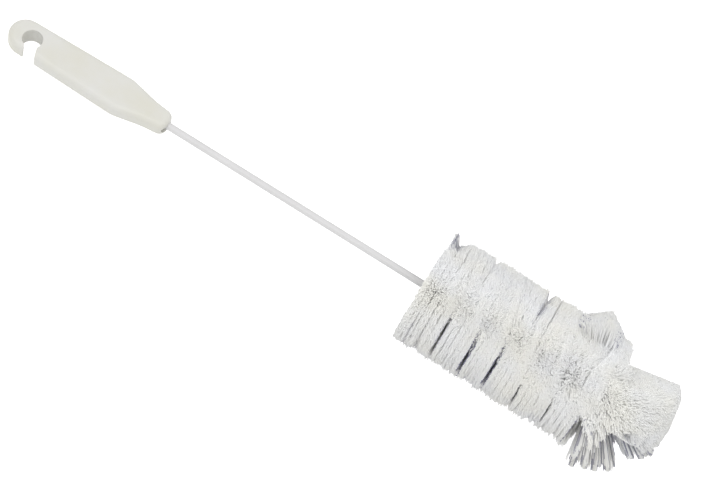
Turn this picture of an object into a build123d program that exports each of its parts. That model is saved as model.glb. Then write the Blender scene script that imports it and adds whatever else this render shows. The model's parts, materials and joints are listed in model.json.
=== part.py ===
"""Bottle brush: moulded hook handle, coated stem, twisted wire core and helical bristle rows."""

import os
from math import asin, atan2, cos, degrees, hypot, radians, sin

from build123d import *

os.makedirs("parts", exist_ok=True)

overall_length = 400.0

# Handle: a flat moulded bar, widest ahead of its middle, necked to a blunt nose, with an open
# hook at its free end
handle_length = 98.0
handle_depth = 10.5
hook_width = 18.8
shoulder_width = 21.6
shoulder_place = 69.5
shoulder_radius = 18.0
waist_width = 13.8
waist_place = 86.0
waist_radius = 40.0
nose_width = 11.2
nose_corner_radius = 4.6
handle_edge_radius = 3.0
eye_place = 14.2
eye_offset = 1.6
eye_diameter = 11.0
mouth_width = 6.6
mouth_slant = 20.0
socket_depth = 40.0
nose_pocket_diameter = 4.6
nose_pocket_offset = 2.6
nose_pocket_depth = 3.0

# Stem: one wire bent double and twisted on itself, coated up to the head
sleeve_diameter = 4.2
sleeve_wall = 0.4
socket_clearance = 0.03
wire_diameter = 1.36
wire_sides = 6
wire_lay = 32.0
wire_end_clearance = 0.4
wire_twist_lead = 6.0
wire_join_overlap = 1.0

# Head: the twist holds the bristles in a helical sheet, and each half turn of it is one row
head_diameter = 61.0
row_count = 6
bundles_per_row = 22
bristle_clearance = 0.04
bundle_root_width = 0.5
neck_radius_share = 1.15
bundle_tip_width = 2.5
bundle_tip_length = 11.4
bundle_lean = 1.2
bundle_unevenness = 0.9
ground_flat_depth = 2.4

# Tip: the last row flares to one side, and the end of the wire carries a splayed fan
fan_forward_reach = 29.5
flare_reach = 39.0
flare_shift = 3.0
fan_leans = (10, 38, 64, 84)
fan_side_reach = 36.0
fan_notch_reach = 22.0
fan_tip_length = 9.0

row_length = wire_lay / 2
bundle_step = row_length / bundles_per_row
bundle_turn = 180 / bundles_per_row
head_radius = head_diameter / 2
wire_radius = wire_diameter / 2
strand_offset = bundle_root_width / 2 + bristle_clearance + wire_radius
neck_radius = neck_radius_share * bundle_root_width / sin(radians(bundle_turn))
socket_floor = handle_length - socket_depth
wire_start = socket_floor + wire_end_clearance
wire_end = overall_length - fan_forward_reach
fan_start = wire_end - row_length
head_start = fan_start - row_count * row_length
twist_start = head_start - wire_twist_lead

# Resting attitude: the hook end and the rear rim of the bristles lie on the ground, and the
# bristles that carry the head bend flat there
rim_place = head_start + bundle_step / 2 - bundle_tip_length / 2
rest_radius = head_radius - ground_flat_depth
rest_run = rim_place - handle_edge_radius
rest_rise = rest_radius + handle_edge_radius - handle_depth / 2
tilt = atan2(rest_rise, rest_run) - asin(handle_edge_radius / hypot(rest_run, rest_rise))
rest = Location(
    (-overall_length * cos(tilt) / 2, 0, rest_radius * cos(tilt) - rim_place * sin(tilt)),
    (0, -degrees(tilt), 0),
)


def across(place):
    """Plane square to the brush, seen from the tip, with its X axis to the side."""
    return Plane(rest * Plane((place, 0, 0), x_dir=(0, 1, 0), z_dir=(1, 0, 0)).location)


def sheet_turn(place):
    """Angle of the bristle sheet about the wire at a place along the brush."""
    return 180 * (place - head_start) / row_length


def row_places(first_place):
    """Places along the wire of one row's bundles."""
    return [first_place + (index + 0.5) * bundle_step for index in range(bundles_per_row)]


def seat(place, side=0):
    """Seat of a bundle in the wire, with its Z axis along the bristles of one side."""
    return rest * Location((place, 0, 0), (sheet_turn(place) + side, 0, 0))


def upper_share(place, side):
    """How far a bundle's end points to the flared side, from 0 on the far side to 1 on it."""
    return (1 - sin(radians(sheet_turn(place) + side))) / 2


def half_bundle(root, reach, tip_shift, tip_length):
    """One end of a bundle of bristles, from its flat root out to its splayed tip."""
    tip_start = (bundle_step - tip_length) / 2 + tip_shift
    tip_side = (bundle_root_width - bundle_tip_width) / 2
    with Locations(root * Location((-bundle_step / 2, bundle_root_width / 2, 0), (90, 0, 0))):
        return Wedge(
            bundle_step,
            reach,
            bundle_root_width,
            tip_start,
            tip_side,
            tip_start + tip_length,
            tip_side + bundle_tip_width,
            align=None,
            mode=Mode.PRIVATE,
        )


# Handle
hook_radius = hook_width / 2
side_slope = atan2(shoulder_width / 2, shoulder_place - hook_radius) - asin(
    hook_radius / hypot(shoulder_width / 2, shoulder_place - hook_radius)
)
with BuildPart() as handle:
    with BuildSketch(Plane(rest)):
        with BuildLine():
            end = CenterArc((hook_radius, 0), hook_radius, 180, degrees(side_slope) - 90)
            FilletPolyline(
                end @ 1,
                (shoulder_place, shoulder_width / 2),
                (waist_place, waist_width / 2),
                (handle_length, nose_width / 2),
                (handle_length, 0),
                radius=(shoulder_radius, waist_radius, nose_corner_radius),
            )
            mirror(about=Plane.XZ)
        make_face()
    extrude(amount=handle_depth / 2, both=True)
    faces_square = handle.faces().filter_by(Plane(rest))
    fillet(faces_square.edges(), handle_edge_radius)
    with BuildSketch(Plane(rest)):
        with Locations((eye_place, -eye_offset)):
            Circle(eye_diameter / 2)
            with Locations(Location((0, 0), mouth_slant)):
                Rectangle(mouth_width, hook_width, align=(Align.CENTER, Align.MAX))
    extrude(amount=handle_depth, both=True, mode=Mode.SUBTRACT)
    with BuildSketch(across(handle_length)):
        Circle(sleeve_diameter / 2 + socket_clearance)
    extrude(amount=-socket_depth, mode=Mode.SUBTRACT)
    with BuildSketch(across(handle_length)):
        with Locations((-nose_pocket_offset, 0)):
            Circle(nose_pocket_diameter / 2)
    extrude(amount=-nose_pocket_depth, mode=Mode.SUBTRACT)
handle.part.label = "handle"
export_step(handle.part, "parts/handle.step")

# Stem sleeve
with BuildPart() as stem_sleeve:
    with BuildSketch(across(socket_floor)):
        Circle(sleeve_diameter / 2)
        Circle(sleeve_diameter / 2 - sleeve_wall, mode=Mode.SUBTRACT)
    extrude(amount=head_start - socket_floor)
stem_sleeve.part.label = "stem_sleeve"
export_step(stem_sleeve.part, "parts/stem_sleeve.step")

# Twisted wire: straight inside the sleeve, twisted where it grips the bristles
with BuildPart() as twisted_wire:
    for strand_turn in (0, 180):
        turned = Location((0, 0, 0), (0, 0, sheet_turn(twist_start) + strand_turn))
        twist = across(twist_start).location * turned
        with BuildSketch(Plane(twist * Location((strand_offset, 0, wire_join_overlap)))):
            RegularPolygon(wire_radius, wire_sides)
        extrude(amount=wire_start - twist_start - wire_join_overlap)
        with BuildLine() as strand:
            helix = Helix(wire_lay, wire_end - twist_start, strand_offset, mode=Mode.PRIVATE)
            add(helix.moved(twist))
        with BuildSketch(Plane(strand.line @ 0, z_dir=strand.line % 0)):
            RegularPolygon(wire_radius, wire_sides)
        sweep(path=strand.line, is_frenet=True)
    turned = Location((0, 0, 0), (0, 0, sheet_turn(wire_end)))
    loop = across(wire_end).location * turned * Location((0, 0, 0), (90, 0, 0))
    with BuildLine(Plane(loop)) as bend:
        Line((strand_offset, -wire_join_overlap), (strand_offset, 0))
        CenterArc((0, 0), strand_offset, 0, 180)
        Line((-strand_offset, 0), (-strand_offset, -wire_join_overlap))
    with BuildSketch(Plane(bend.line @ 0, z_dir=bend.line % 0)):
        RegularPolygon(wire_radius, wire_sides)
    sweep(path=bend.line)
twisted_wire.part.label = "twisted_wire"
export_step(twisted_wire.part, "parts/twisted_wire.step")

# Bristle rows
for row in range(row_count):
    places = row_places(head_start + row * row_length)
    flared = row == row_count - 1
    with BuildPart() as bristle_row:
        with Locations([seat(place) for place in places]):
            Box(bundle_step, bundle_root_width, 2 * neck_radius)
        ends = []
        for index, place in enumerate(places):
            for side in (0, 180):
                reach = head_radius - bundle_unevenness * sin(index) ** 2
                shift = bundle_lean * sin(2 * index)
                if flared:
                    reach += (flare_reach - head_radius) * upper_share(place, side)
                    shift -= flare_shift * upper_share(place, side)
                root = seat(place, side) * Location((0, 0, neck_radius))
                ends.append(half_bundle(root, reach - neck_radius, shift, bundle_tip_length))
        add(ends)
        split(bisect_by=Plane.XY, keep=Keep.TOP)
    bristle_row.part.label = f"bristle_row_{row + 1}"
    export_step(bristle_row.part, f"parts/bristle_row_{row + 1}.step")

# Tip fan
with BuildPart() as tip_fan:
    places = row_places(fan_start)
    with Locations([seat(place) for place in places]):
        Box(bundle_step, bundle_root_width, 2 * neck_radius)
    ends = []
    for index, place in enumerate(places):
        lean = radians(fan_leans[index % len(fan_leans)])
        for side in (0, 180):
            spread = fan_forward_reach
            if index % len(fan_leans) == 0:
                spread = fan_side_reach + (fan_notch_reach - fan_side_reach) * upper_share(place, side)
            ahead = wire_end + spread * sin(lean) - place
            out = spread * cos(lean) - neck_radius
            root = seat(place, side) * Location((0, 0, neck_radius), (0, degrees(atan2(ahead, out)), 0))
            ends.append(half_bundle(root, hypot(ahead, out), 0, fan_tip_length))
    add(ends)
tip_fan.part.label = "tip_fan"
export_step(tip_fan.part, "parts/tip_fan.step")
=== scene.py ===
"""Looks of a white bottle brush: moulded hook handle, coated stem, twisted wire and nylon bristles."""

import json
import math
from collections import namedtuple

import bpy
import numpy as np
from mathutils import Matrix, Vector


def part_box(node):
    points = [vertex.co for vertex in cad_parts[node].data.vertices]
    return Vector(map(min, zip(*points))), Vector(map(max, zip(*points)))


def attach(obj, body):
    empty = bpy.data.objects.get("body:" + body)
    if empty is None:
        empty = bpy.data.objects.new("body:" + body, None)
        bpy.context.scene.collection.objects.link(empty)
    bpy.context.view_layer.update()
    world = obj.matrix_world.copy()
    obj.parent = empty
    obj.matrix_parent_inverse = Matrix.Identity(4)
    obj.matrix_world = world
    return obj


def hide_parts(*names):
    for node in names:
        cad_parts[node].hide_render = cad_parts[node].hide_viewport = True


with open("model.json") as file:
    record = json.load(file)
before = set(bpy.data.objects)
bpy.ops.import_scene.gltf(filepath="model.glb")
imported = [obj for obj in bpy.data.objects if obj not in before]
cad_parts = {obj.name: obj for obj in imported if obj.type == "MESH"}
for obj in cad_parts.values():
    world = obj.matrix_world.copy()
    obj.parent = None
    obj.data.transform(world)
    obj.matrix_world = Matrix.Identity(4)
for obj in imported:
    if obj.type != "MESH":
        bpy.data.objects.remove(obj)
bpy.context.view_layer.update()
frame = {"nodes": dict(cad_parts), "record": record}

# The brush's sizes are in millimetres, and places along it are counted from the end of the stem's coating.
# The frame, the lights and the camera's distance are in metres
MM = 0.001

# Strands: their shading leans by the lift share toward the tip, and the lying share tells those that lie
# along the brush
scatter_seed = 5
strands_per_row = 28000
strands_in_last_row = 40000
strands_in_fan = 45000
strand_sides = 3
strand_radius = 0.26
fan_strand_radius = 0.33
strand_lift_share = 0.8
strand_shortfall = 0.9
strand_lying_share = 0.7
stray_share = 0.05
stray_length = 1.8
root_distance = 0.7
root_scatter = 3.2
# The root tone is painted shade: each strand is greyer toward the wire, where the head lies in shade
root_painted_shade_tone = 0.5
tone_scatter = 0.07
tip_turn_scatter = math.radians(6)

# Sides of the head: the shown side is lifted from the level by this angle, and a sector gives the limits
# between which strands come to belong to a side
view_lift = math.radians(61)
hidden_sector = (-0.3, 0.0)
behind_sector = (-0.15, 0.3)
front_sector = (0.8, 0.97)
seam_sector = (0.3, 0.6)
parting_sector = (0.62, 0.8)
rim_sector = (0.8, 0.93)

# Rows
rear_edge = -4.5
row_half_spread = 9.4
row_proud = 1.2
row_rounding = 1.3
row_rounding_reach = 2.2
# Grooves at the ends of the rows on the back side, their strands darkened with painted shade
back_groove = 2.4
back_groove_reach = 3.6
back_groove_painted_shade = 0.35
last_row_front_spread = 9.0
lower_flare = 1.0
lower_flare_sector = (0.6, 0.8)
lower_flare_run = (0.4, 0.9)

# Tufts in which the strands of a row cling together, with painted shade in the seams between some of them
tufts_round = 34
tufts_across = 5
tuft_pull_share = 0.2
tuft_shortfall = 1.1
tuft_seam_share = 0.1
tuft_seam_painted_shade = 0.45
painted_seam_tufts_share = 0.3

# Slits between the rows on the lower side, with how dark the painted shade is on the strands beside them
# and the upper share at which they close
Slit = namedtuple("Slit", "place half_width dark top")
lower_slits = (
    Slit(rear_edge, 0.0, 0.0, 0.4),
    Slit(16.9, 0.35, 0.7, 0.5),
    Slit(33.3, 0.45, 1.0, 0.46),
    Slit(47.2, 0.45, 1.0, 0.46),
    Slit(64.0, 0.3, 0.6, 0.28),
    Slit(81.4, 0.25, 0.5, 0.34),
    Slit(99.7, 3.4, 0.9, 0.3),
)
slit_fade = 0.12
slit_wall = 0.5

# Partings of the strands on the upper or the lower side, with painted shade on the strands beside them
Parting = namedtuple("Parting", "place half_width on_upper_side dark")
partings = (
    Parting(21.0, 0.4, True, 0.3),
    Parting(53.0, 1.0, True, 0.6),
    Parting(59.5, 0.5, True, 0.4),
    Parting(1.9, 0.4, False, 0.5),
)
parting_reach = 3.5

# Notches in the rim: chosen ones on the upper side, and worn ones at random on the lower side; the strands
# in them get painted shade
Notch = namedtuple("Notch", "start deepest stop depth dark")
upper_notches = (
    Notch(rear_edge, -2.7, -0.9, 0.0, 0.9),
    Notch(-2.1, -0.5, 6.0, 5.5, 0.8),
    Notch(19.3, 21.5, 23.7, 1.8, 0.2),
    Notch(51.5, 54.0, 56.5, 3.0, 0.5),
)
lower_notch_count = 20
lower_notch_span = (3.5, 93.5)
lower_notch_half_width = (0.8, 2.0)
lower_notch_depth = (0.8, 2.4)
lower_notch_painted_shade = 0.5

# Flare of the last row on the upper side: its ends are places along the brush and distances from its axis;
# some strands at its edges get painted shade
flare_ends = ((71.5, 29.5), (84.0, 39.5), (95.0, 32.5))
flare_strands_share = 0.32
flare_half_turn = math.radians(37)
flare_square_share = 0.3
flare_edge_share = 0.2
flare_painted_shade_share = 0.22
flare_edge_painted_shade = 0.65

# Fan at the tip: its ends on the upper side, the lower side and between them, given like the flare's
fan_upper_ends = (
    (92.5, 34.5), (96.0, 32.0), (103.3, 20.5), (132.5, 25.5), (136.5, 20.5), (139.7, 4.0), (139.7, 0.0),
)
fan_lower_ends = (
    (103.5, 38.0), (106.0, 39.5), (112.0, 38.5), (118.5, 35.0), (126.5, 30.5), (116.5, 14.0),
    (129.5, 21.5), (138.5, 15.0), (139.7, 0.0),
)
fan_side_ends = (
    (89.5, 30.0), (104.5, 31.5), (118.5, 30.5), (129.5, 24.5), (137.5, 13.0), (139.7, 0.0),
)
fan_upper_sector = (0.6, 0.82)
fan_lower_sector = (0.6, 0.85)
fan_upper_root_shares = (0.7, 1.0)
fan_root_shares = (0.1, 1.0)
fan_tufts = 150
fan_tuft_step_share = 0.618
fan_tuft_turn = math.radians(3.2)
fan_tuft_share = 0.007
fan_back_tuft_share = 0.8
fan_loose_share = 3.5
fan_single_share = 0.06
fan_rear_bias = 0.6
fan_shortfall_share = 0.06
fan_lower_shortfall_share = 0.14
# Painted shade on the strands at the edges of the fan's lower tufts
fan_shade_share = 0.78
fan_shade_from = 1.5
fan_groove_place = 113.5
fan_groove_end = 122.5
fan_groove_reach = 13.5
fan_groove_top = 22.0
fan_groove_sector = (0.05, 0.42)
fan_groove_lower_share = 0.5
# Painted shade on the strands in the fan's lower groove
fan_groove_painted_shade = 0.6

# Finishes: stops are levels of a pattern and the colours there
handle_finish = {
    "tints": ((0.3, (0.66, 0.65, 0.58)), (0.7, (0.69, 0.687, 0.665))),
    "roughness": (0.38, 0.55),
    "grain_scale": 2500.0,
    "grain_strength": 0.15,
}
sleeve_finish = {
    "tints": ((0.3, (0.63, 0.625, 0.627)), (0.7, (0.67, 0.665, 0.667))),
    "roughness": (0.3, 0.45),
    "grain_scale": 1800.0,
    "grain_strength": 0.1,
}
plastic_cloud = {"Scale": 40.0, "Detail": 4.0, "Roughness": 0.6}
plastic_grain_detail = 3.0
plastic_grain_depth = 0.2
plastic_specular = 0.4
wire_scratch = {"Scale": 900.0, "Detail": 3.0}
wire_tints = ((0.3, (0.42, 0.42, 0.43)), (0.7, (0.62, 0.62, 0.63)))
wire_roughness = (0.28, 0.45)
# The fibre tones' dark low end is painted shade for strands beside slits, partings, notches, tuft seams and
# grooves
fibre_tones_and_painted_shade = ((0.0, (0.2, 0.2, 0.3)), (0.5, (0.89, 0.89, 0.9)), (0.8, (0.98, 0.98, 0.98)))
fibre_cloud = {"Scale": 45.0, "Detail": 3.0}
fibre_tints = ((0.35, (1, 0.995, 0.955)), (0.65, (0.985, 0.992, 1)))
fibre_roughness = 0.5
fibre_specular = 0.3

# Floor, lights and camera: a pair of strengths is for light that falls on the brush and for what is seen
white = (1, 1, 1, 1)
floor_size = 12.0
floor_cloud = {"Scale": 3.0}
floor_tints = ((0.3, (0.86, 0.86, 0.86)), (0.7, (0.88, 0.88, 0.88)))
floor_roughness = 0.9
floor_strengths = (0.0, 0.8)
room_strengths = (0.66, 1.0)
front_light = {"place": (-0.2, -0.7, 1.6), "aim": (0, 0, 0.02), "size": 1.8, "power": 16.2}
back_light = {"place": (0.3, 1.1, 1.2), "aim": (0.1, 0, 0.02), "size": 1.2, "power": 3.5}
camera_distance = 1.0
camera_reach = 50.0
camera_aim = -45.62
camera_aim_side = -5.24
camera_roll = math.radians(34.42)
camera_lens = 100.03
camera_sensor = 36.0

scatter = np.random.default_rng(scatter_seed)

# Directions along the brush, to its upper side and above it, and the end of the stem's coating, which is a
# tube lying aslant in its box
lift = Vector(frame["record"]["mounts"][0]["axis"])
along = Vector((lift.z, 0, -lift.x))
aside = Vector((0, 1, 0))
brush_axes = np.array([along, aside, lift])
stem_low, stem_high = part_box("stem_sleeve")
stem_size = stem_high - stem_low
stem_length = (stem_size.x - stem_size.y * along.z) / along.x
stem_end = (stem_low + stem_high) / 2 + stem_length / 2 * along


def place_of(node):
    """Place along the brush of the middle of a node's box."""
    low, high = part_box(node)
    return ((low + high) / 2 - stem_end).dot(along) / MM


row_names = sorted(node for node in frame["nodes"] if node.startswith("bristle_row"))
row_pitch = (place_of(row_names[3]) - place_of(row_names[1])) / 2
head_start = place_of(row_names[2]) - (2 + 1 / 2) * row_pitch
fan_start = head_start + len(row_names) * row_pitch
row_low, row_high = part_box(row_names[2])
head_radius = (row_high.y - row_low.y) / 2 / MM


# Materials

def new_material(name):
    """A material with its shader, and the shader's node."""
    material = bpy.data.materials.new(name)
    material.use_nodes = True
    return material, material.node_tree.nodes["Principled BSDF"]


def add_node(material, kind, **values):
    """A node of a material, with its sockets set by name."""
    node = material.node_tree.nodes.new(kind)
    for name, value in values.items():
        node.inputs[name.replace("_", " ")].default_value = value
    return node


def join(material, source, target):
    """Links two sockets."""
    material.node_tree.links.new(source, target)


def noise(material, **values):
    """Levels of a noise that sits still on the piece."""
    spot = add_node(material, "ShaderNodeTexCoord")
    cloud = add_node(material, "ShaderNodeTexNoise", **values)
    join(material, spot.outputs["Object"], cloud.inputs["Vector"])
    return cloud.outputs["Fac"]


def tint(material, level, stops):
    """Colours between stops, chosen by a level."""
    ramp = add_node(material, "ShaderNodeValToRGB")
    elements = ramp.color_ramp.elements
    for index, (place, colour) in enumerate(stops):
        element = elements[index] if index < len(elements) else elements.new(place)
        element.position = place
        element.color = (*colour, 1)
    join(material, level, ramp.inputs["Fac"])
    return ramp.outputs["Color"]


def spread(material, level, span):
    """A level spread from the low to the high end of a span."""
    low, high = span
    node = add_node(material, "ShaderNodeMapRange", To_Min=low, To_Max=high)
    join(material, level, node.inputs["Value"])
    return node.outputs["Result"]


def moulded_plastic(name, tints, roughness, grain_scale, grain_strength):
    """Off-white moulded plastic: faint clouding, uneven gloss and a fine moulded grain."""
    material, shader = new_material(name)
    cloud = noise(material, **plastic_cloud)
    join(material, tint(material, cloud, tints), shader.inputs["Base Color"])
    join(material, spread(material, cloud, roughness), shader.inputs["Roughness"])
    grain = noise(material, Scale=grain_scale, Detail=plastic_grain_detail)
    relief = add_node(
        material, "ShaderNodeBump", Strength=grain_strength, Distance=plastic_grain_depth * MM
    )
    join(material, grain, relief.inputs["Height"])
    join(material, relief.outputs["Normal"], shader.inputs["Normal"])
    shader.inputs["Specular IOR Level"].default_value = plastic_specular
    return material


def drawn_steel():
    """Drawn steel wire with fine scratches."""
    material, shader = new_material("drawn_steel")
    shader.inputs["Metallic"].default_value = 1.0
    scratch = noise(material, **wire_scratch)
    join(material, tint(material, scratch, wire_tints), shader.inputs["Base Color"])
    join(material, spread(material, scratch, wire_roughness), shader.inputs["Roughness"])
    return material


def nylon_fibre():
    """White nylon, greyer toward the wire and dark beside slits, partings, notches and grooves by painted
    shade, each strand a little different.
    """
    material, shader = new_material("nylon_fibre")
    tone = add_node(material, "ShaderNodeAttribute")
    tone.attribute_name = "strand_tone_and_painted_shade"
    colour = add_node(material, "ShaderNodeVectorMath")
    colour.operation = "MULTIPLY"
    join(material, tint(material, tone.outputs["Fac"], fibre_tones_and_painted_shade), colour.inputs[0])
    join(material, tint(material, noise(material, **fibre_cloud), fibre_tints), colour.inputs[1])
    join(material, colour.outputs["Vector"], shader.inputs["Base Color"])
    shader.inputs["Roughness"].default_value = fibre_roughness
    shader.inputs["Specular IOR Level"].default_value = fibre_specular
    return material


# Strands

def one_strand():
    """Corners and faces of one strand of unit length and radius, drawn to a point at its root."""
    bpy.ops.object.select_all(action="DESELECT")
    bpy.ops.mesh.primitive_cylinder_add(vertices=strand_sides, radius=1, depth=1, location=(0, 0, 1 / 2))
    strand = bpy.context.object
    bpy.ops.object.transform_apply(location=True, rotation=False, scale=False)
    bpy.ops.object.mode_set(mode="EDIT")
    bpy.ops.mesh.select_mode(type="VERT")
    bpy.ops.mesh.select_all(action="DESELECT")
    bpy.ops.object.mode_set(mode="OBJECT")
    for corner in strand.data.vertices:
        corner.select = corner.co.z < 1 / 2
    bpy.ops.object.mode_set(mode="EDIT")
    bpy.ops.mesh.merge(type="CENTER")
    bpy.ops.object.mode_set(mode="OBJECT")
    corners = np.array([corner.co for corner in strand.data.vertices])
    faces = [tuple(face.vertices) for face in strand.data.polygons]
    bpy.data.objects.remove(strand, do_unlink=True)
    return corners, faces


strand_corners, strand_faces = one_strand()
nylon = nylon_fibre()


def to_frame(points):
    """Points along, beside and above the brush's axis, in the frame."""
    return np.array(stem_end) + MM * points @ brush_axes


def strand_piece(name, node, roots, tips, radius, tones):
    """One piece of many strands, from their roots, tips and tones, which hold random variation and painted
    shade.
    """
    count = len(roots)
    reach = tips - roots
    run = reach / np.linalg.norm(reach, axis=1, keepdims=True)
    lying_along = np.abs(run[:, :1]) >= strand_lying_share
    helper = np.where(lying_along, (0.0, 1.0, 0.0), (1.0, 0.0, 0.0))
    wide = np.cross(run, helper)
    wide /= np.linalg.norm(wide, axis=1, keepdims=True)
    deep = np.cross(run, wide)
    rise = strand_corners[:, 2]
    middle = roots[:, None, :] + rise[None, :, None] * reach[:, None, :]
    skin = strand_corners[None, :, :1] * wide[:, None, :] + strand_corners[None, :, 1:2] * deep[:, None, :]
    points = to_frame((middle + radius * skin).reshape(-1, 3))
    points[:, 2] = np.maximum(points[:, 2], 0)
    corners = np.concatenate([np.array(face) for face in strand_faces])
    all_corners = (corners[None, :] + len(strand_corners) * np.arange(count)[:, None]).ravel()
    face_sizes = np.tile([len(face) for face in strand_faces], count)
    mesh = bpy.data.meshes.new(name)
    mesh.vertices.add(len(points))
    mesh.vertices.foreach_set("co", points.ravel())
    mesh.loops.add(len(all_corners))
    mesh.loops.foreach_set("vertex_index", all_corners)
    mesh.polygons.add(len(face_sizes))
    mesh.polygons.foreach_set("loop_start", np.concatenate([[0], np.cumsum(face_sizes)[:-1]]))
    mesh.update(calc_edges=True)
    facing = (skin + strand_lift_share * run[:, None, :]).reshape(-1, 3) @ brush_axes
    facing /= np.linalg.norm(facing, axis=1, keepdims=True)
    mesh.normals_split_custom_set_from_vertices(facing)
    tone = mesh.attributes.new("strand_tone_and_painted_shade", "FLOAT", "POINT")
    # Each strand's tone rises from the painted shade at its root to white at its tip, plus its random tone
    # less its painted shade marks
    levels = root_painted_shade_tone + (1 - root_painted_shade_tone) * rise[None, :] + tones[:, None]
    tone.data.foreach_set("value", np.clip(levels, 0, 1).ravel())
    mesh.materials.append(nylon)
    piece = bpy.data.objects.new(name, mesh)
    bpy.context.scene.collection.objects.link(piece)
    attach(piece, "root")
    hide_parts(node)


def outward(turn):
    """Directions square to the brush's axis, at angles about it."""
    return np.stack([np.zeros_like(turn), -np.sin(turn), np.cos(turn)], axis=1)


def on_axis(place):
    """Points on the brush's axis."""
    return np.stack([place, np.zeros_like(place), np.zeros_like(place)], axis=1)


def mix(first, second, share):
    """A value that moves by a share from the first to the second."""
    return first + share * (second - first)


def blend_step(value, low, high):
    """Smooth step from 0 to 1 between two values."""
    share = np.clip((value - low) / (high - low), 0, 1)
    return share * share * (3 - 2 * share)


def edge_share(distance, reach):
    """How close strands are to an edge, from 1 at the edge to 0 at a reach from it."""
    return (1 - np.clip(distance / reach, 0, 1)) ** 2


def upper_share(turn):
    """How far strands point to the upper side of the shown side, from 0 to 1."""
    return (1 + np.cos(turn + view_lift)) / 2


def toward_front(turn):
    """How far strands point straight out of the shown side, from -1 behind it to 1."""
    return np.sin(turn + view_lift)


def behind_share(turn):
    """How far strands belong to the side behind the shown one, from 0 to 1."""
    return blend_step(-toward_front(turn), *behind_sector)


def along_ends(ends, share):
    """Places and distances from the axis at shares of the length of a line of strand ends."""
    places, distances = np.transpose(ends)
    lengths = np.concatenate([[0], np.cumsum(np.hypot(np.diff(places), np.diff(distances)))])
    spot = share * lengths[-1]
    return np.interp(spot, lengths, places), np.interp(spot, lengths, distances)


# Bristle rows

def worn_notches():
    """Small notches worn at random places into the lower rim, with painted shade on their strands."""
    places = scatter.uniform(*lower_notch_span, lower_notch_count)
    half_widths = scatter.uniform(*lower_notch_half_width, lower_notch_count)
    depths = scatter.uniform(*lower_notch_depth, lower_notch_count)
    return [
        Notch(place - half_width, place, place + half_width, depth, lower_notch_painted_shade)
        for place, half_width, depth in zip(places, half_widths, depths)
    ]


lower_notches = worn_notches()


def notched(place, upper):
    """How much shorter the strands are in the notches of the rim, and how dark their painted shade is."""
    depth, shade = np.zeros_like(place), np.zeros_like(place)
    for notches, facing in ((upper_notches, upper), (lower_notches, 1 - upper)):
        near = blend_step(facing, *rim_sector)
        for notch in notches:
            share = near * np.interp(place, (notch.start, notch.deepest, notch.stop), (0, 1, 0))
            depth = np.maximum(depth, notch.depth * share)
            shade = np.maximum(shade, notch.dark * share)
    return depth, shade


def parted(place, upper):
    """Strand ends moved out of the partings, and how dark the painted shade is on those beside them."""
    shade = np.zeros_like(place)
    for parting in partings:
        near = blend_step(upper if parting.on_upper_side else 1 - upper, *parting_sector)
        offset = place - parting.place
        inside = np.abs(offset) < parting_reach
        clear = mix(parting.half_width, parting_reach, np.abs(offset) / parting_reach)
        moved = parting.place + np.where(offset < 0, -1, 1) * clear
        beside = inside & (clear < parting.half_width + slit_wall)
        shade = np.maximum(shade, np.where(beside, parting.dark * near, 0))
        place = np.where(inside, mix(place, moved, near), place)
    return place, shade


def open_share(slit, turn):
    """How far a slit is open, from 1 where it gapes to 0 above its top and on the hidden side."""
    above = blend_step(upper_share(turn), slit.top - slit_fade, slit.top + slit_fade)
    hidden = blend_step(-toward_front(turn), *hidden_sector)
    return 1 - np.maximum(above, hidden)


def gathered(row, share, side, across):
    """A ring's strands drawn together into tufts: where they stand, how much shorter, and the painted shade
    in their seams.
    """
    tufts = np.arange(2 * tufts_round * tufts_across)
    tuft = (share * tufts_round).astype(int) * tufts_across + (across * tufts_across).astype(int)
    tuft = tuft + tufts_round * tufts_across * side
    tuft_share = (tufts // tufts_across % tufts_round + scatter.random(len(tufts))) / tufts_round
    tuft_across = (tufts % tufts_across + scatter.random(len(tufts))) / tufts_across
    shorter = tuft_shortfall * scatter.random(len(tufts))
    seam_painted_shade = tuft_seam_painted_shade * (scatter.random(len(tufts)) < painted_seam_tufts_share)
    in_seam = across * tufts_across % 1 < tuft_seam_share
    pull = tuft_pull_share * (1 + behind_share(math.pi * (row + share + side)))
    share = mix(share, tuft_share[tuft], pull)
    across = mix(across, tuft_across[tuft], pull)
    return share, across, shorter[tuft], seam_painted_shade[tuft] * in_seam


def flared(turn, place, reach, root, tones):
    """The last row's strands, a share of them gathered into the flare on the upper side, some at its edges
    darkened with painted shade.
    """
    count = len(turn)
    in_flare = scatter.random(count) < flare_strands_share
    flare_turn = flare_half_turn * (2 * scatter.random(count) - 1)
    spot = scatter.random(count)
    at_edge = np.minimum(spot, 1 - spot) < flare_edge_share
    dark = flare_edge_painted_shade * at_edge * (scatter.random(count) < flare_painted_shade_share)
    flare_place, flare_reach = along_ends(flare_ends, spot)
    flare_reach = flare_reach / np.cos(flare_turn) ** flare_square_share
    flare_reach = flare_reach - strand_shortfall * scatter.random(count)
    flare_root = fan_start - root_scatter * scatter.random(count)
    return (
        np.where(in_flare, flare_turn - view_lift, turn),
        np.where(in_flare, flare_place, place),
        np.where(in_flare, flare_reach, reach),
        np.where(in_flare, flare_root, root),
        np.where(in_flare, tones - dark, tones),
    )


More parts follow.
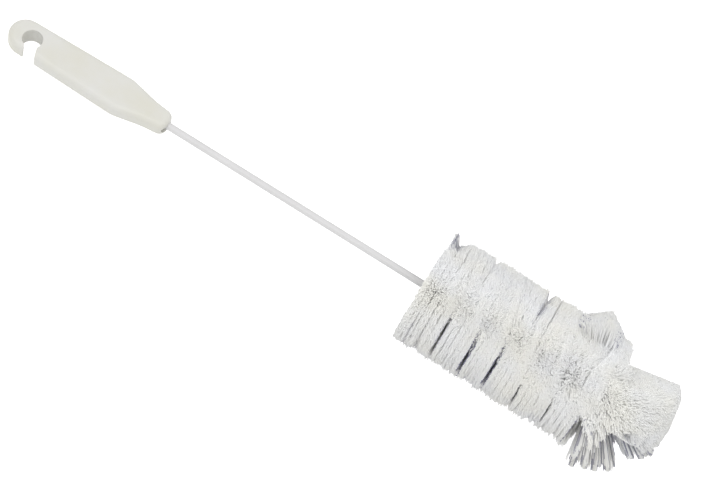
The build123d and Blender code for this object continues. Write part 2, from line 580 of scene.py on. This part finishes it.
def bristle_row(row, name, node):
    """One ring of strands, held by half a lay of the wire."""
    last_row = row == len(row_names) - 1
    count = strands_in_last_row if last_row else strands_per_row
    share = scatter.random(count)
    side = scatter.integers(0, 2, count)
    across = scatter.random(count)
    share, across, shorter, seam_shade = gathered(row, share, side, across)
    turn = math.pi * (row + share + side)
    middle = head_start + row_pitch * (row + share)
    upper, behind = upper_share(turn), behind_share(turn)

    before, after = lower_slits[row:row + 2]
    open_before, open_after = open_share(before, turn), open_share(after, turn)
    half_spread = mix(row_half_spread, row_pitch / 2, behind)
    start = mix(middle - half_spread, before.place + before.half_width, open_before)
    stop = mix(middle + half_spread, after.place - after.half_width, open_after)
    if row == 0:
        start = np.full(count, rear_edge)
    if last_row:
        front = blend_step(toward_front(turn), *front_sector)
        stop = stop + last_row_front_spread * (1 - open_after) * front
    place, shade = parted(mix(start, stop, across), upper)
    from_start, from_stop = place - start, stop - place

    notch_depth, notch_shade = notched(place, upper)
    off_front = blend_step(np.abs(2 * upper - 1), *seam_sector)
    groove = behind * edge_share(np.minimum(from_start, from_stop), back_groove_reach)
    rounding = row_rounding * np.maximum(
        open_before * edge_share(from_start, row_rounding_reach),
        open_after * edge_share(from_stop, row_rounding_reach),
    )
    # Painted shade: strands darken in notches, along tuft seams, in the back grooves and beside slits and
    # partings
    for dark in (
        notch_shade,
        seam_shade * off_front,
        back_groove_painted_shade * groove,
        before.dark * open_before * (from_start < slit_wall),
        after.dark * open_after * (from_stop < slit_wall),
    ):
        shade = np.maximum(shade, dark)

    reach = head_radius + row_proud - (1 + behind) * shorter - strand_shortfall * scatter.random(count)
    stray = stray_length * scatter.random(count) * (scatter.random(count) < stray_share)
    reach = reach + stray - notch_depth - rounding - back_groove * groove
    # Tones: random variation less the painted shade
    tones = scatter.normal(0, tone_scatter, count) - shade
    root = np.maximum(middle + scatter.normal(0, root_scatter, count), head_start)
    if last_row:
        lower = blend_step(1 - upper, *lower_flare_sector)
        reach = reach + lower_flare * lower * blend_step(across, *lower_flare_run)
        turn, place, reach, root, tones = flared(turn, place, reach, root, tones)
    roots = on_axis(root) + root_distance * outward(turn)
    tip_turn = turn + scatter.normal(0, tip_turn_scatter, count)
    tips = on_axis(place) + reach[:, None] * outward(tip_turn)
    strand_piece(name, node, roots, tips, strand_radius, tones)


for row, node in enumerate(row_names):
    bristle_row(row, f"bristles_{row + 1}", node)


# Fan at the tip

def fan_bristles(name, node):
    """The splayed end: tufts that lean forward more and more toward the end of the wire, with painted shade
    at the edges of the lower tufts and in the lower groove.
    """
    count = strands_in_fan
    tufts = np.arange(fan_tufts)
    tuft = scatter.integers(0, fan_tufts, count)
    tuft_turn = 2 * math.pi * (tufts * fan_tuft_step_share % 1)
    tuft_share = (tufts + scatter.random(fan_tufts)) / fan_tufts
    lower_tuft = blend_step(1 - upper_share(tuft_turn), *fan_lower_sector)
    tight = np.maximum(lower_tuft, fan_back_tuft_share * behind_share(tuft_turn))
    loose = 1 + fan_loose_share * (1 - tight[tuft])
    off_turn, off_share = scatter.normal(0, 1, (2, count))
    turn = tuft_turn[tuft] + loose * fan_tuft_turn * off_turn
    share = np.clip(tuft_share[tuft] + loose * fan_tuft_share * off_share, 0, 1)
    # Painted shade at the edges of the lower tufts
    shade = fan_shade_share * lower_tuft[tuft] * (np.abs(off_share) > fan_shade_from)
    single = scatter.random(count) < fan_single_share * (1 - lower_tuft[tuft])
    turn = np.where(single, 2 * math.pi * scatter.random(count), turn)
    share = np.where(single, scatter.random(count), share)

    upper = upper_share(turn)
    upward = blend_step(upper, *fan_upper_sector)
    downward = blend_step(1 - upper, *fan_lower_sector)
    beside = 1 - upward - downward
    share = share ** (1 + fan_rear_bias * beside)
    place, reach = np.zeros(count), np.zeros(count)
    for weight, ends in ((upward, fan_upper_ends), (downward, fan_lower_ends), (beside, fan_side_ends)):
        end_place, end_reach = along_ends(ends, share)
        place = place + weight * end_place
        reach = reach + weight * end_reach

    # Painted shade in the groove on the lower side
    lower = downward > fan_groove_lower_share
    in_groove = lower & (place < fan_groove_end) & (reach < fan_groove_top)
    shade = np.maximum(shade, fan_groove_painted_shade * in_groove)
    groove_low, groove_high = fan_groove_sector
    grooved = (place > fan_groove_place) & (upper < groove_high) & (upper > groove_low)
    reach = np.where(grooved, np.minimum(reach, fan_groove_reach / (1 - 2 * upper)), reach)

    root_share = mix(mix(*fan_root_shares, share), mix(*fan_upper_root_shares, share), upward)
    root = fan_start + row_pitch * root_share
    shortfall = mix(fan_shortfall_share, fan_lower_shortfall_share, downward)
    kept_share = 1 - shortfall * scatter.random(count)
    roots = on_axis(root) + root_distance * outward(turn)
    tips = on_axis(place) + reach[:, None] * outward(turn)
    tips = mix(roots, tips, kept_share[:, None])
    strand_piece(name, node, roots, tips, fan_strand_radius, scatter.normal(0, tone_scatter, count) - shade)


fan_bristles("fan_bristles", "tip_fan")


# Rigid pieces keep their solids

def dress(node, material):
    """Gives a solid its finish."""
    mesh = frame["nodes"][node].data
    mesh.materials.clear()
    mesh.materials.append(material)


dress("handle", moulded_plastic("handle_plastic", **handle_finish))
dress("stem_sleeve", moulded_plastic("sleeve_plastic", **sleeve_finish))
dress("twisted_wire", drawn_steel())


# Floor

def white_to_view(owner, strengths):
    """A strength that differs where the camera sees the surface, also in metal and through clear pieces."""
    ray = add_node(owner, "ShaderNodeLightPath")
    seen = ray.outputs["Is Camera Ray"]
    for kind in ("Is Glossy Ray", "Is Transmission Ray"):
        either = add_node(owner, "ShaderNodeMath")
        either.operation = "MAXIMUM"
        join(owner, seen, either.inputs[0])
        join(owner, ray.outputs[kind], either.inputs[1])
        seen = either.outputs["Value"]
    return spread(owner, seen, strengths)


def pale_floor():
    """A white floor that stays white to the camera and keeps the shadow."""
    bpy.ops.object.select_all(action="DESELECT")
    bpy.ops.mesh.primitive_plane_add(size=floor_size, location=(0, 0, 0))
    floor = bpy.context.object
    floor.name = "floor"
    material, shader = new_material("floor_white")
    join(material, tint(material, noise(material, **floor_cloud), floor_tints), shader.inputs["Base Color"])
    shader.inputs["Roughness"].default_value = floor_roughness
    shader.inputs["Emission Color"].default_value = white
    join(material, white_to_view(material, floor_strengths), shader.inputs["Emission Strength"])
    floor.data.materials.append(material)


pale_floor()


# Light

def soft_light(name, place, aim, size, power):
    """A large square studio light that faces a point."""
    lamp = bpy.data.lights.new(name, "AREA")
    lamp.size = size
    lamp.energy = power
    holder = bpy.data.objects.new(name, lamp)
    bpy.context.scene.collection.objects.link(holder)
    holder.location = place
    holder.rotation_euler = (Vector(aim) - Vector(place)).to_track_quat("-Z", "Y").to_euler()


def pale_room():
    """The even light of a white room."""
    world = bpy.data.worlds.new("studio")
    world.use_nodes = True
    background = world.node_tree.nodes["Background"]
    background.inputs["Color"].default_value = white
    join(world, white_to_view(world, room_strengths), background.inputs["Strength"])
    bpy.context.scene.world = world


soft_light("front_light", **front_light)
soft_light("back_light", **back_light)
pale_room()


# Camera

def photo_camera():
    """The camera: square to the shown side, turned so that the brush runs down to the right."""
    toward = Vector((0, -math.cos(view_lift), math.sin(view_lift)))
    right = Vector((1, 0, 0))
    upward = toward.cross(right)
    rolled_right = math.cos(camera_roll) * right + math.sin(camera_roll) * upward
    rolled_up = math.cos(camera_roll) * upward - math.sin(camera_roll) * right
    lens = bpy.data.cameras.new("camera")
    lens.lens = camera_lens
    lens.sensor_fit = "HORIZONTAL"
    lens.sensor_width = camera_sensor
    lens.clip_end = camera_reach
    camera = bpy.data.objects.new("camera", lens)
    bpy.context.scene.collection.objects.link(camera)
    turn = Matrix((rolled_right, rolled_up, toward)).transposed()
    aim = Vector(to_frame(np.array([camera_aim, camera_aim_side, 0])))
    camera.matrix_world = Matrix.Translation(aim + camera_distance * toward) @ turn.to_4x4()
    bpy.context.scene.camera = camera


photo_camera()
bpy.context.scene.view_settings.view_transform = "Standard"
